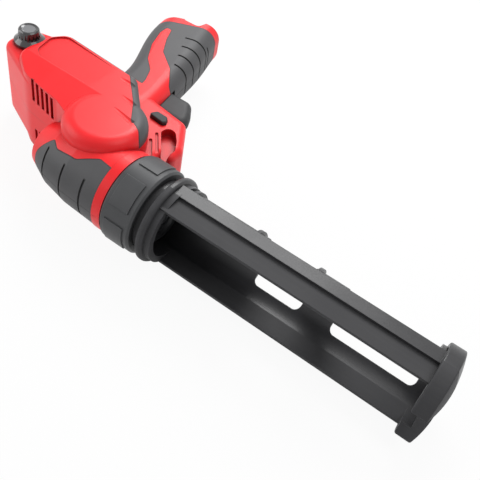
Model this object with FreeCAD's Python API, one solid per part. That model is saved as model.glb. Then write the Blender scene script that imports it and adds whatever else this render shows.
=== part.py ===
import FreeCAD, Part
import math
import os

# Cordless caulking tool, lying on its right side. Millimetres.
# X runs forward along the barrel axis, Y from the barrel to the foot of the handle.
# Z is up, which is the tool's left side.
# The origin is on the barrel axis, where the locking collar meets the red neck.

# Cartridge carriage
CARTRIDGE_R = 25.0
CARTRIDGE_GAP = 1.2
CARRIAGE_WALL = 2.7
CARRIAGE_CLEAR_LENGTH = 216.0
WALL_REACH = 16.0
WALL_LEAN = 0.6
RAIL_FLANGE_Y0 = -0.5
RAIL_FLANGE_Y1 = 10.5
RAIL_FLANGE_HEIGHT = 2.4
WINDOW_EDGE_Y = 12.0
REAR_WINDOW_X0 = 110.0
REAR_WINDOW_LENGTH = 40.0
WINDOW_BRIDGE = 26.0
FRONT_WINDOW_LENGTH = 70.0
WINDOW_CORNER_R = 5.0
HOOP_RIB_HEIGHT = 2.2
HOOP_RIB_WIDTH = 3.0
FLANGE_R = 35.0
FLANGE_WIDTH = 6.0
STEP_RING_R = 31.5
STEP_RING_WIDTH = 5.0
END_CAP_R = 35.0
END_CAP_DEPTH = 7.4
END_PLATE = 4.0
END_CAP_CROWN = 6.2
NOZZLE_SLOT_R = 14.5
NOZZLE_SLOT_Y = 3.0
EDGE_ROUND = 1.2
FLANGE_ROUND = 2.4

# Locking collar and the neck that it turns on
COLLAR_R = 34.9
COLLAR_LENGTH = 27.1
COLLAR_GAP = 0.5
COLLAR_LIP = 4.2
COLLAR_PADS = 6
PAD_RAISE = 0.9
PAD_LENGTH = 17.0
PAD_START = 5.0
PAD_ANGLE = 40.0
NECK_R = 33.5
NECK_LENGTH = 8.0
MOUNT_R = 31.5
MOUNT_NOSE = 16.0
MOUNT_BULKHEAD = 4.0
TURN_GAP = 0.3
TAIL_FLANGE_WIDTH = 6.8
GROOVE_WIDTH = 5.9

# Push chain, its wheel and the final drive
DRIVE_X = -42.5
DRIVE_Y = 20.0
CHAIN_TEETH = 16
CHAIN_ROLLER_R = 2.4
CHAIN_PIN_R = 1.6
CHAIN_PLATE_R = 3.4
CHAIN_PLATE = 1.2
CHAIN_INNER_HALF = 2.9
CHAIN_PLAY = 0.1
WHEEL_HALF = 2.4
RUN_LINKS = 8
STORE_LINKS = 4
RETURN_LINKS = 6
DROP_LINKS = 2
GUIDE_GAP = 1.0
GUIDE_HALF = 7.0
GUIDE_THICK = 2.2
SHAFT_R = 5.0
SHAFT_HALF = 37.0
BUSH_R = 9.0
BUSH_LENGTH = 8.0
FIT_GAP = 0.05
GEAR_MODULE = 1.0
GEAR_TEETH = 52
PINION_TEETH = 14
PRESSURE_ANGLE = 20.0
BACKLASH = 0.25
GEAR_Z0 = 12.0
GEAR_WIDTH = 6.0
PINION_WIDTH = 7.0
PINION_BEARING = 143.13
PINION_SHAFT_R = 3.0
PLUNGER_R = 23.5
PLUNGER_THICK = 8.0
HEAD_FOOT = 2.5
PLUNGER_BOSS_R = 9.0

# Main housing
PANEL_HALF = 40.0
REAR_HALF = 33.0
NOSE_HALF = 16.5
NOSE_ROUND = 7.0
NOSE_X = 7.5
TOP_X = -122.0
TOP_Y = 16.5
FOLD_Y = 36.0
FOLD_DROP = 0.22
RECESS_DEPTH = 1.6
RECESS_RIM = 5.0
POCKET_FLOOR = 9.5
POCKET_TOP = 25.0
POCKET_WALL = 3.0
NOSE_RIB_HEADING = -50.8
DOME_R = 32.5
DOME_ROUND = 10.0
DOME_TOP_Z = PANEL_HALF
DOME_EXTRA_WALL = 0.5
SHELL = 3.0
HOUSING_ROUND = 6.0
BARREL_REAR_X = -84.5
GRIP_THICK = 2.5
STRIP_THICK = 2.2
STRIP_LOW_Z = 27.0
GROOVE = 2.4
GROOVE_SINK = 1.4
VENT_COUNT = 5
VENT_X = -112.6
VENT_PITCH = 5.7
VENT_WIDTH = 3.0
VENT_LENGTH = 20.5
VENT_Z = 25.2
VENT_STEP = 0.7
DIAL_X = -152.0
DIAL_Y = 51.0

# Motor line
MOTOR_Y = 49.0
MOTOR_R = 18.0
MOTOR_REAR_X = -136.0
MOTOR_LENGTH = 48.0
GEARBOX_LENGTH = 16.0
GEARBOX_HALF = 16.0
OUTPUT_BOSS_R = 7.2
OUTPUT_BOSS_HALF = 11.0
RIB = 3.0

# Handle, trigger, switch gear
HANDLE_TOP_Y = 66.0
HANDLE_END_Y = 216.0
HANDLE_CORNER = 0.74
FOOT_Y = 206.5
FOOT_SLOPE = 0.52
FOOT_RIM = 9.5
GRIP_GROOVES = 5
GRIP_GROOVE_X = -63.0
GRIP_GROOVE_Y = 131.5
GRIP_GROOVE_PITCH = 12.2
GRIP_GROOVE_WIDTH = 1.4
GRIP_GROOVE_DEPTH = 1.1
BARREL_GROOVES_X = (-63.0, -42.5, -22.0)
NOTCH_DEPTH = 5.5
NOTCH_X = -88.0
NOTCH_WIDTH = 20.0
WELL_WALL = 4.0
WELL_TOP_Y = 130.0
TRIGGER_HALF = 7.5
TRIGGER_GAP = 0.5
TRIGGER_ROUND = 6.5
TRIGGER_TOP_Y = 84.6
TRIGGER_END_Y = 115.0
SWITCH_X = -66.5
SWITCH_LENGTH = 15.5
STEM_R = 3.4
STEM_Y = 97.0
STEM_LENGTH = 9.0
TRIGGER_BACK_X = -58.0
SPRING_R = 3.2
SPRING_WIRE_R = 0.45
SPRING_TURNS = 8
SPRING_Y = 107.0
SPRING_POCKET = 12.0
BUTTON_PROUD = 3.5
DIAL_SKIRT_R = 12.5
DIAL_SKIRT = 5.2
DIAL_CAP_R = 8.3
DIAL_CAP = 7.4
DIAL_STEM_R = 3.0
DIAL_LIFT = 0.4
SCREW_R = 1.5
SCREW_HEAD_R = 3.0
BOSS_R = 4.6

# Worked-out places
INNER_R = CARTRIDGE_R + CARTRIDGE_GAP
OUTER_R = INNER_R + CARRIAGE_WALL
COLLAR_FRONT_X = COLLAR_GAP + COLLAR_LENGTH
MOUNT_TAIL = NECK_LENGTH
FLANGE_X = COLLAR_FRONT_X + GROOVE_WIDTH
CAP_X = FLANGE_X + CARRIAGE_CLEAR_LENGTH
CAP_RIM_X = CAP_X + END_CAP_DEPTH + END_PLATE
CAP_FRONT_X = CAP_RIM_X + END_CAP_CROWN
CHAIN_PITCH = 2.0 * DRIVE_Y * math.sin(math.pi / CHAIN_TEETH)
CHAIN_OUTER_HALF = CHAIN_INNER_HALF + 2 * CHAIN_PLATE + CHAIN_PLAY
CHAIN_HEAD_X = DRIVE_X + RUN_LINKS * CHAIN_PITCH
PLUNGER_BACK = CHAIN_HEAD_X + CHAIN_PLATE_R + HEAD_FOOT + 0.6
PLUNGER_FRONT = PLUNGER_BACK + PLUNGER_THICK
GEAR_R = GEAR_MODULE * GEAR_TEETH / 2
PINION_R = GEAR_MODULE * PINION_TEETH / 2
PINION_X = DRIVE_X + (GEAR_R + PINION_R) * math.cos(math.radians(PINION_BEARING))
PINION_Y = DRIVE_Y + (GEAR_R + PINION_R) * math.sin(math.radians(PINION_BEARING))
MOTOR_FRONT_X = MOTOR_REAR_X + MOTOR_LENGTH
BIG = 600.0
V = FreeCAD.Vector
X_AXIS = V(1, 0, 0)
Y_AXIS = V(0, 1, 0)
Z_AXIS = V(0, 0, 1)


# A closed outline in the XY plane from (x, y, corner radius) points
def outline(points):
    edges = []
    ends = []
    count = len(points)
    for i in range(count):
        here = V(points[i][0], points[i][1], 0)
        radius = points[i][2]
        before = V(points[i - 1][0], points[i - 1][1], 0) - here
        after = V(points[(i + 1) % count][0], points[(i + 1) % count][1], 0) - here
        if radius == 0:
            ends.append((here, None, here))
            continue
        before.normalize()
        after.normalize()
        half = before.getAngle(after) / 2
        reach = radius / math.tan(half)
        middle = before + after
        middle.normalize()
        centre = here + middle * (radius / math.sin(half))
        ends.append((here + before * reach, centre - middle * radius, here + after * reach))
    for i in range(count):
        start, through, stop = ends[i]
        if through is not None:
            edges.append(Part.Arc(start, through, stop).toShape())
        following = ends[(i + 1) % count][0]
        if (following - stop).Length > 1e-6:
            edges.append(Part.makeLine(stop, following))
    return Part.Face(Part.Wire(edges))


# A plate with that outline between two heights
def plate(points, z0, z1):
    face = outline(points)
    face.translate(V(0, 0, z0))
    return face.extrude(V(0, 0, z1 - z0))


# A turned solid about the barrel axis from (x, radius) points
def turned(points):
    corners = [V(x, r, 0) for x, r in points]
    corners.append(corners[0])
    return Part.Face(Part.makePolygon(corners)).revolve(V(0, 0, 0), X_AXIS, 360)


def rod_x(x0, x1, radius, y=0.0, z=0.0):
    return Part.makeCylinder(radius, x1 - x0, V(x0, y, z), X_AXIS)


def rod_z(x, y, z0, z1, radius):
    return Part.makeCylinder(radius, z1 - z0, V(x, y, z0), Z_AXIS)


def block(x0, x1, y0, y1, z0, z1):
    return Part.makeBox(x1 - x0, y1 - y0, z1 - z0, V(x0, y0, z0))


def mirrored(shape):
    return shape.mirror(V(0, 0, 0), Z_AXIS)


def both_sides(shape):
    return shape.fuse(mirrored(shape))


def upper_half(shape):
    return shape.common(block(-BIG, BIG, -BIG, BIG, 0, BIG))


# Rounds the edges of a plate that lie on its two flat faces
def softened(shape, radius, z_level):
    edges = [e for e in shape.Edges if abs(abs(e.CenterOfMass.z) - z_level) < 1e-4]
    return shape.makeFillet(radius, edges)


# Side outlines of the housing
def panel_points():
    return [
        (-144, 30.5, 14), (TOP_X, TOP_Y, 30), (-84, 11.5, 12), (-62, 4, 8), (-40, 4, 8),
        (-22, 8, 8), (-18, 34, 5), (-56, 73, 9), (-133, 77, 12), (-143, 62, 12),
    ]


def rear_points():
    return [
        (-167, 37, 11), (TOP_X, TOP_Y, 30), (-84, 11.5, 12), (-62, 4, 8), (-50, 30, 5),
        (-56, 73, 9), (-135, 76, 12), (-168, 66, 13),
    ]


def nose_points():
    return [
        (-55, 20, 8), (-2.5, 20, 8), (-2.5, COLLAR_R + 2.2, 1), (NOSE_X, COLLAR_R + 2.2, 8),
        (NOSE_X, 54, 9), (-10, 81.5, 8), (-52, 87.5, 8), (-72, 66, 8),
    ]


def barrel_points(inset):
    return [
        (BARREL_REAR_X + inset, 0), (BARREL_REAR_X + inset, 13 - inset),
        (-81 + inset, 19 - inset), (-62, 27.5 - inset), (-40, 31.5 - inset),
        (-NECK_LENGTH, 33 - inset), (-NECK_LENGTH, 0),
    ]


# Handle cross-section: a rounded rectangle at height y
def handle_section(y, middle, depth, width):
    corner = HANDLE_CORNER * width
    points = []
    for sx, sz in ((-1, -1), (1, -1), (1, 1), (-1, 1)):
        points.append((middle + sx * depth, sz * width, corner))
    wire = outline(points).OuterWire
    wire.rotate(V(0, 0, 0), X_AXIS, 90)
    wire.translate(V(0, y, 0))
    return wire


# Handle stations: height, middle, half depth, half width
def handle_sections(inset):
    stations = [
        (HANDLE_TOP_Y, -73, 27, 17.5), (95, -69, 24, 18), (122, -74.5, 25, 19), (148, -82, 28.5, 20.5),
        (172, -88, 29.6, 21.5), (HANDLE_END_Y, -97.5, 29.6, 22.5),
    ]
    return [handle_section(y, middle, d - inset, w - inset) for y, middle, d, w in stations]


# Everything beyond the slanted foot of the handle, set back by a margin
def beyond_foot(back):
    y0 = FOOT_Y - back
    corners = [
        V(-200, y0 - 131 * FOOT_SLOPE, -60), V(0, y0 + 69 * FOOT_SLOPE, -60),
        V(0, 400, -60), V(-200, 400, -60),
    ]
    corners.append(corners[0])
    return Part.Face(Part.makePolygon(corners)).extrude(V(0, 0, 120))


def handle_solid(inset):
    return Part.makeLoft(handle_sections(inset), True, False)


def grip_region():
    points = [
        (-77, -45, 0), (-75, -20, 3), (-62, -12.5, 2.5), (-55, -17.5, 6), (-36, -18.5, 8),
        (-20, -10, 4), (-NECK_LENGTH, -11.5, 0), (-NECK_LENGTH, -45, 0),
    ]
    return plate(points, -60, 60)


def front_grip_seat():
    skin = turned(barrel_points(0)).cut(turned(barrel_points(GRIP_THICK)))
    return skin.common(grip_region())


def front_grip():
    skin = front_grip_seat()
    for x in BARREL_GROOVES_X:
        groove = rod_x(x, x + GRIP_GROOVE_WIDTH, 60).cut(turned(barrel_points(GRIP_GROOVE_DEPTH)))
        skin = skin.cut(groove.common(block(-90, 0, -60, -10, -20, 20)))
    return skin


def inlay_region():
    points = [
        (-64, 74, 0), (-67, 97, 5), (-73, 111, 6), (-85, 122, 8), (-95, 140, 10),
        (-100.5, 158, 8), (-100.5, 168, 2), (-95.5, 168, 2), (-90, 154, 8), (-81, 138, 8),
        (-62, 124, 8), (-50, 108, 5), (-38, 108, 0), (-38, 74, 0),
    ]
    return plate(points, -60, 60)


# Finger grooves round the front of the handle
def handle_grooves():
    slabs = []
    for i in range(GRIP_GROOVES):
        y = GRIP_GROOVE_Y + i * GRIP_GROOVE_PITCH
        x0 = GRIP_GROOVE_X - 0.45 * (y - GRIP_GROOVE_Y)
        if i == GRIP_GROOVES - 1:
            x0 = GRIP_GROOVE_X
        slab = block(0, 60, -GRIP_GROOVE_WIDTH / 2, GRIP_GROOVE_WIDTH / 2, -40, 40)
        slab.rotate(V(0, 0, 0), Z_AXIS, 21)
        slab.translate(V(x0, y, 0))
        slabs.append(slab)
    shell = handle_solid(-1).cut(handle_solid(GRIP_GROOVE_DEPTH))
    return shell.common(Part.makeCompound(slabs))


def handle_grip_seat():
    skin = handle_solid(0).cut(handle_solid(GRIP_THICK))
    skin = skin.cut(block(-BIG, BIG, -BIG, 92, -BIG, BIG)).cut(beyond_foot(FOOT_RIM))
    return skin.cut(inlay_region()).cut(trigger_pocket())


def handle_grip():
    return handle_grip_seat().cut(handle_grooves())


def panel_body():
    body = plate(panel_points(), -PANEL_HALF, PANEL_HALF)
    body = softened(body, HOUSING_ROUND, PANEL_HALF)
    for cut in (shoulder(0), panel_recess()):
        body = body.cut(cut).cut(mirrored(cut))
    return body


# The slope from the flat of the side panel to the vented top
def shoulder(inset):
    reach = 60.0
    top = PANEL_HALF - inset
    corners = [
        V(-200, FOLD_Y, top), V(-200, FOLD_Y - reach, top - reach * FOLD_DROP),
        V(-200, FOLD_Y - reach, 2 * PANEL_HALF), V(-200, FOLD_Y, 2 * PANEL_HALF),
    ]
    corners.append(corners[0])
    return Part.Face(Part.makePolygon(corners)).extrude(V(200, 0, 0))


# Sunk field on the flat of the panel: deepest behind, running out to nothing in front
def panel_recess():
    rear = panel_points()[-1][0] + RECESS_RIM
    field = plate([
        (rear + 4, FOLD_Y + 6, 8), (rear + 12, FOLD_Y + 1, 6), (-70, FOLD_Y + 1, 0), (-70, 67, 0),
        (rear + 8, 72, 8), (rear, 62, 9),
    ], 0, 2 * PANEL_HALF)
    corners = [V(rear, 0, PANEL_HALF - RECESS_DEPTH), V(-74, 0, PANEL_HALF), V(rear, 0, 2 * PANEL_HALF)]
    corners.append(corners[0])
    wedge = Part.Face(Part.makePolygon(corners)).extrude(V(0, 100, 0))
    return field.common(wedge)


# Three short grooves that deepen as they run into the bumper strip
def panel_grooves():
    grooves = []
    for x, y, length, heading, top in (
        (-64, 62.1, 14, -1, PANEL_HALF), (-48.4, 46.3, 14, -9, PANEL_HALF),
        (-43.5, 31.2, 21, -10, DOME_TOP_Z),
    ):
        cut = rod_x(0, length, GROOVE)
        cut.rotate(V(0, 0, 0), Y_AXIS, math.degrees(math.asin(GROOVE_SINK / length)))
        cut.rotate(V(0, 0, 0), Z_AXIS, heading)
        cut.translate(V(x, y, top + GROOVE - 0.2))
        grooves.append(cut)
    return both_sides(Part.makeCompound(grooves))


# Bumper strip that wraps the lower and front edges of the side panel and the front of the dome
def bumper_strip():
    inner = outline(panel_points()).makeOffset2D(-STRIP_THICK)
    core = inner.extrude(V(0, 0, PANEL_HALF - STRIP_THICK))
    skin = upper_half(panel_body().fuse(dome(0))).cut(core).cut(dome(STRIP_THICK))
    band = plate([
        (2, 20.5, 0), (2, 42, 0), (-45, 95, 0), (-150, 95, 0), (-150, 74.5, 0), (-62, 70, 4),
        (-38, 46, 3), (-26, 29.5, 4), (-15, 25, 3), (-10.5, 20.5, 0),
    ], STRIP_LOW_Z, DOME_TOP_Z + 5)
    return skin.common(band).cut(handle_solid(-1.0)).cut(panel_grooves())


# Round boss on each side, over the drive
def dome(inset):
    half = rod_z(DRIVE_X, DRIVE_Y, 0, DOME_TOP_Z - inset, DOME_R - inset)
    rim = [e for e in half.Edges if abs(e.CenterOfMass.z - DOME_TOP_Z + inset) < 1e-6]
    return both_sides(half.makeFillet(DOME_ROUND - inset, rim))


# A turned solid about an upright axis from (radius, z) points
def turned_z(points, x, y):
    corners = [V(x + r, y, z) for r, z in points]
    corners.append(corners[0])
    return Part.Face(Part.makePolygon(corners)).revolve(V(x, y, 0), Z_AXIS, 360)


def housing_outer():
    rear = plate(rear_points(), -REAR_HALF, REAR_HALF)
    body = panel_body()
    body = body.fuse(softened(rear, HOUSING_ROUND - 1, REAR_HALF))
    body = body.fuse(dome(0))
    body = body.fuse(turned(barrel_points(0)))
    body = body.fuse(rod_x(-NECK_LENGTH, 0, NECK_R))
    nose = plate(nose_points(), -NOSE_HALF, NOSE_HALF)
    body = body.fuse(softened(nose, NOSE_ROUND, NOSE_HALF))
    body = body.fuse(handle_solid(0).cut(beyond_foot(0)))
    return body.removeSplitter()


# Places of the case screws: x, y, head depth below the middle
def screw_places():
    return [
        (-147, 68, 27.0), (-78, 19, 33.0), (-18, 76.5, 12.0), (-57.5, 80, 12.0),
    ]


# Open space inside the case, with bearing bosses, motor ribs and screw bosses left standing
def housing_cavity():
    panel = outline(panel_points()).makeOffset2D(-SHELL)
    rear = outline(rear_points()).makeOffset2D(-SHELL)
    roof = SHELL + RECESS_DEPTH
    inside = both_sides(panel.extrude(V(0, 0, PANEL_HALF - roof)).cut(shoulder(roof)))
    inside = inside.fuse(both_sides(rear.extrude(V(0, 0, REAR_HALF - SHELL))))
    inside = inside.fuse(dome(SHELL + DOME_EXTRA_WALL))
    inside = inside.fuse(rod_x(-46, -MOUNT_TAIL, 25))
    nose = outline(nose_points()).makeOffset2D(-SHELL)
    inside = inside.fuse(both_sides(nose.extrude(V(0, 0, NOSE_HALF - SHELL))))
    hold = both_sides(rod_z(DRIVE_X, DRIVE_Y, SHAFT_HALF - BUSH_LENGTH, DOME_TOP_Z, BUSH_R + 3))
    for x0 in (MOTOR_REAR_X + 4, MOTOR_FRONT_X - RIB):
        hold = hold.fuse(block(x0, x0 + RIB, 0, 90, -PANEL_HALF, PANEL_HALF))
    for x, y, depth in screw_places():
        hold = hold.fuse(rod_z(x, y, -PANEL_HALF, PANEL_HALF, BOSS_R))
    hold = hold.fuse(pocket_backing())
    inside = inside.cut(hold)
    return inside.fuse(block(-96, -48, 78, 121, -13, 13).common(handle_solid(GRIP_THICK + 2)))


def vents():
    slots = []
    for i in range(VENT_COUNT):
        x = VENT_X + i * VENT_PITCH
        for side in (-1, 1):
            z = side * (VENT_Z - i * VENT_STEP)
            slots.append(block(x - VENT_WIDTH / 2, x + VENT_WIDTH / 2, 4, 25,
                               z - VENT_LENGTH / 2, z + VENT_LENGTH / 2))
    return Part.makeCompound(slots)


# Socket for a battery stem, with a dip in the rim on each side
def battery_well():
    lower = handle_sections(WELL_WALL)[-1]
    upper = handle_section(WELL_TOP_Y, -76.5, 25.5 - WELL_WALL - 1, 19.5 - WELL_WALL)
    pocket = Part.makeLoft([upper, lower], True, True)
    y0 = FOOT_Y + (NOTCH_X + 69) * FOOT_SLOPE - NOTCH_DEPTH
    half = NOTCH_WIDTH / 2
    dip = plate([
        (NOTCH_X - half - 4, y0 + 20, 0), (NOTCH_X - half - 2, y0 - 1, 5), (NOTCH_X + half - 4, y0, 5),
        (NOTCH_X + half, y0 + 20, 0),
    ], -40, 40)
    return pocket.fuse(dip)


# Outline of the pocket in each side of the nose, open toward the collar
def pocket_points():
    return [
        (-17.6, 57.4, 3), (-16.8, 62.5, 3), (-13.5, 65.6, 4), (-8.2, 64.2, 5), (-1.1, 56.4, 8),
        (3.4, 48.5, 4), (3.4, 35, 0), (0.6, 35, 0),
    ]


# Pocket and two ribs' grooves, side by side, in each side of the nose
def nose_pocket():
    cut = plate(pocket_points(), POCKET_FLOOR, POCKET_TOP)
    for x, y, length in ((-18.2, 45.2, 20), (-19.3, 54.2, 28)):
        groove = block(0, length, -GROOVE / 2, GROOVE / 2, NOSE_HALF - GROOVE_SINK, POCKET_TOP)
        ends = [e for e in groove.Edges if abs(e.CenterOfMass.x) < 1e-6
                and abs(abs(e.CenterOfMass.y) - GROOVE / 2) < 1e-6]
        groove = groove.makeFillet(GROOVE / 2 - 0.1, ends)
        groove.rotate(V(0, 0, 0), Z_AXIS, NOSE_RIB_HEADING)
        groove.translate(V(x, y, 0))
        cut = cut.fuse(groove)
    return both_sides(cut)


# Wall left standing inside the nose round the pockets
def pocket_backing():
    face = outline(pocket_points()).makeOffset2D(POCKET_WALL)
    face.translate(V(0, 0, POCKET_FLOOR - POCKET_WALL))
    return both_sides(face.extrude(V(0, 0, POCKET_TOP)))


# Cross bolt of the lock, a lozenge as seen from the side
def button_shape(gap, z0, z1):
    face = outline([(-37, 65, 2), (-33, 72, 2), (-22.5, 71.7, 2.5), (-19.8, 66, 2), (-22, 63.6, 2)])
    if gap > 0:
        face = face.makeOffset2D(gap)
    face.translate(V(0, 0, z0))
    return face.extrude(V(0, 0, z1 - z0))


def trigger_points():
    return [
        (TRIGGER_BACK_X, 86.5, 0), (-20.5, TRIGGER_TOP_Y, 7.5), (-16.5, 93, 9), (-21, 103, 14),
        (-29, TRIGGER_END_Y, 8), (TRIGGER_BACK_X, TRIGGER_END_Y - 0.5, 0),
    ]


def trigger_pocket():
    return block(-66, -30, TRIGGER_TOP_Y - TRIGGER_GAP, TRIGGER_END_Y + TRIGGER_GAP,
                 -TRIGGER_HALF - TRIGGER_GAP, TRIGGER_HALF + TRIGGER_GAP)


# Passage that lets the stored end of the chain hang into the handle
def chain_chute():
    joints = chain_joints()
    x = joints[-1][0]
    half = CHAIN_PLATE_R + 0.6
    wide = CHAIN_OUTER_HALF + 0.6
    return block(x - half, x + half, 60, joints[-1][1] + half, -wide, wide)


def housing_cuts():
    cuts = [housing_cavity(), vents(), battery_well(), trigger_pocket(), panel_grooves(), nose_pocket()]
    cuts.append(button_shape(0.3, -BIG, BIG))
    cuts.append(rod_x(-MOUNT_TAIL, 1, MOUNT_R))
    cuts.append(rod_x(MOTOR_REAR_X, MOTOR_FRONT_X, MOTOR_R, MOTOR_Y))
    cuts.append(gearbox_solid())
    cuts.append(chain_chute())
    cuts.append(both_sides(rod_z(DRIVE_X, DRIVE_Y, 0, SHAFT_HALF + 0.5, BUSH_R)))
    cuts.append(rod_z(DIAL_X, DIAL_Y, 0, BIG, DIAL_STEM_R + 0.3))
    cuts.append(rod_z(DIAL_X, DIAL_Y, REAR_HALF, BIG, DIAL_SKIRT_R + 0.8))
    cuts.append(board_solid())
    cuts.append(terminal_solid())
    for x, y, depth in screw_places():
        cuts.append(rod_z(x, y, -BIG, -depth, SCREW_HEAD_R + 0.3))
        cuts.append(rod_z(x, y, -depth - 1, 10, SCREW_R))
    return cuts


def housing():
    body = housing_outer()
    body = body.cut(front_grip_seat())
    body = body.cut(handle_grip_seat())
    strip = bumper_strip()
    body = body.cut(strip).cut(mirrored(strip))
    for cut in housing_cuts():
        body = body.cut(cut)
    left = body.common(block(-BIG, BIG, -BIG, BIG, 0, BIG))
    right = body.common(block(-BIG, BIG, -BIG, BIG, -BIG, 0))
    right = right.fuse(rod_z(DIAL_X, DIAL_Y, -REAR_HALF, -REAR_HALF + SHELL, DIAL_STEM_R + 2))
    return left, right


# Neck tube that the collar is turned on, closed behind by a bulkhead with the chain's port
def barrel_mount():
    tube = rod_x(-MOUNT_TAIL, MOUNT_NOSE, MOUNT_R)
    tube = tube.cut(rod_x(-MOUNT_TAIL + MOUNT_BULKHEAD, MOUNT_NOSE, OUTER_R + TURN_GAP))
    high = CHAIN_PLATE_R + 1
    wide = CHAIN_OUTER_HALF + 1
    port = block(-MOUNT_TAIL, 0, -high, high, -wide, wide)
    return tube.cut(port)


def locking_collar():
    lip_x = COLLAR_FRONT_X - COLLAR_LIP
    ring = turned([
        (COLLAR_GAP, MOUNT_R + TURN_GAP), (COLLAR_GAP, COLLAR_R - 1.6), (COLLAR_GAP + 1.6, COLLAR_R),
        (COLLAR_FRONT_X - 1.6, COLLAR_R), (COLLAR_FRONT_X, COLLAR_R - 1.6),
        (COLLAR_FRONT_X, OUTER_R + TURN_GAP), (lip_x, OUTER_R + TURN_GAP), (lip_x, MOUNT_R + TURN_GAP),
    ])
    x0 = COLLAR_GAP + PAD_START
    pad = Part.makeCylinder(COLLAR_R + PAD_RAISE, PAD_LENGTH, V(x0, 0, 0), X_AXIS, PAD_ANGLE)
    pad = pad.cut(rod_x(x0 - 1, x0 + PAD_LENGTH + 1, COLLAR_R - 1.0))
    pads = []
    for i in range(COLLAR_PADS):
        copy = pad.copy()
        copy.rotate(V(0, 0, 0), X_AXIS, i * 360.0 / COLLAR_PADS + 17)
        pads.append(copy)
    return ring.fuse(pads).removeSplitter()


# Cross-section of the trough in the YZ plane, open toward the tool's top
def trough_face(radius, reach):
    top = radius
    lean = WALL_LEAN
    start = V(0, 0, top)
    stop = V(0, 0, -top)
    arc = Part.Arc(start, V(0, top, 0), stop).toShape()
    lower = V(0, -reach, -top + lean)
    upper = V(0, -reach, top - lean)
    sides = [Part.makeLine(stop, lower), Part.makeLine(lower, upper), Part.makeLine(upper, start)]
    return Part.Face(Part.Wire([arc] + sides))


def window(x0, length):
    cut = block(x0, x0 + length, WINDOW_EDGE_Y, 60, -OUTER_R - 5, OUTER_R + 5)
    corners = [e for e in cut.Edges if abs(e.CenterOfMass.y - WINDOW_EDGE_Y) < 1e-6
               and abs(e.CenterOfMass.z) < 1e-6]
    return cut.makeFillet(WINDOW_CORNER_R, corners)


def carriage_frame():
    trough_length = CAP_X - FLANGE_X
    body = trough_face(OUTER_R, WALL_REACH).extrude(V(trough_length, 0, 0))
    body.translate(V(FLANGE_X, 0, 0))
    rail = block(FLANGE_X, CAP_X, RAIL_FLANGE_Y0, RAIL_FLANGE_Y1, OUTER_R - 5, OUTER_R + RAIL_FLANGE_HEIGHT)
    body = body.fuse(both_sides(rail))
    for x in rib_places():
        ring = rod_x(x, x + HOOP_RIB_WIDTH, OUTER_R + HOOP_RIB_HEIGHT)
        body = body.fuse(ring.common(block(0, 400, RAIL_FLANGE_Y1 - 4, 60, -60, 60)))
    front_start = REAR_WINDOW_X0 + REAR_WINDOW_LENGTH + WINDOW_BRIDGE
    body = body.cut(window(REAR_WINDOW_X0, REAR_WINDOW_LENGTH))
    body = body.cut(window(front_start, FRONT_WINDOW_LENGTH))
    tail_x = MOUNT_NOSE + TURN_GAP
    ring = turned([
        (2, 0), (2, OUTER_R), (tail_x, OUTER_R), (tail_x, MOUNT_R), (tail_x + TAIL_FLANGE_WIDTH, MOUNT_R),
        (tail_x + TAIL_FLANGE_WIDTH, OUTER_R), (FLANGE_X, OUTER_R), (FLANGE_X, FLANGE_R),
        (FLANGE_X + FLANGE_WIDTH, FLANGE_R), (FLANGE_X + FLANGE_WIDTH, STEP_RING_R),
        (FLANGE_X + FLANGE_WIDTH + STEP_RING_WIDTH, STEP_RING_R),
        (FLANGE_X + FLANGE_WIDTH + STEP_RING_WIDTH, 0),
    ])
    ring = rounded_rim(ring, FLANGE_R, FLANGE_ROUND)
    cap = turned([
        (CAP_X, 0), (CAP_X, END_CAP_R), (CAP_FRONT_X, END_CAP_R), (CAP_FRONT_X, 0),
    ])
    crown = (END_CAP_R ** 2 + END_CAP_CROWN ** 2) / (2 * END_CAP_CROWN)
    cap = cap.common(Part.makeSphere(crown, V(CAP_FRONT_X - crown, 0, 0)))
    cap = rounded_rim(cap, END_CAP_R, EDGE_ROUND)
    body = body.fuse(ring).fuse(cap)
    seat = rod_x(0, CAP_X + END_CAP_DEPTH, INNER_R)
    open_top = trough_face(INNER_R, 60).extrude(V(CAP_X - FLANGE_X - FLANGE_WIDTH - STEP_RING_WIDTH, 0, 0))
    open_top.translate(V(FLANGE_X + FLANGE_WIDTH + STEP_RING_WIDTH, 0, 0))
    slot = rod_x(CAP_X - 1, CAP_FRONT_X + 1, NOZZLE_SLOT_R, NOZZLE_SLOT_Y)
    slot = slot.fuse(block(CAP_X - 1, CAP_FRONT_X + 1, -60, NOZZLE_SLOT_Y, -NOZZLE_SLOT_R, NOZZLE_SLOT_R))
    return body.cut(seat).cut(open_top).cut(slot).removeSplitter()


# The corners of a turned piece rounded at one radius
def rounded_rim(shape, radius, size):
    rim = [e for e in shape.Edges if hasattr(e.Curve, "Radius") and abs(e.Curve.Radius - radius) < 1e-6]
    return shape.makeFillet(size, rim)


# Stiffening hoops round the outside of the trough
def rib_places():
    bridge = REAR_WINDOW_X0 + REAR_WINDOW_LENGTH
    return [FLANGE_X + 14, REAR_WINDOW_X0 - 8, bridge + 2, CAP_X - HOOP_RIB_WIDTH - 0.5]


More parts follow.
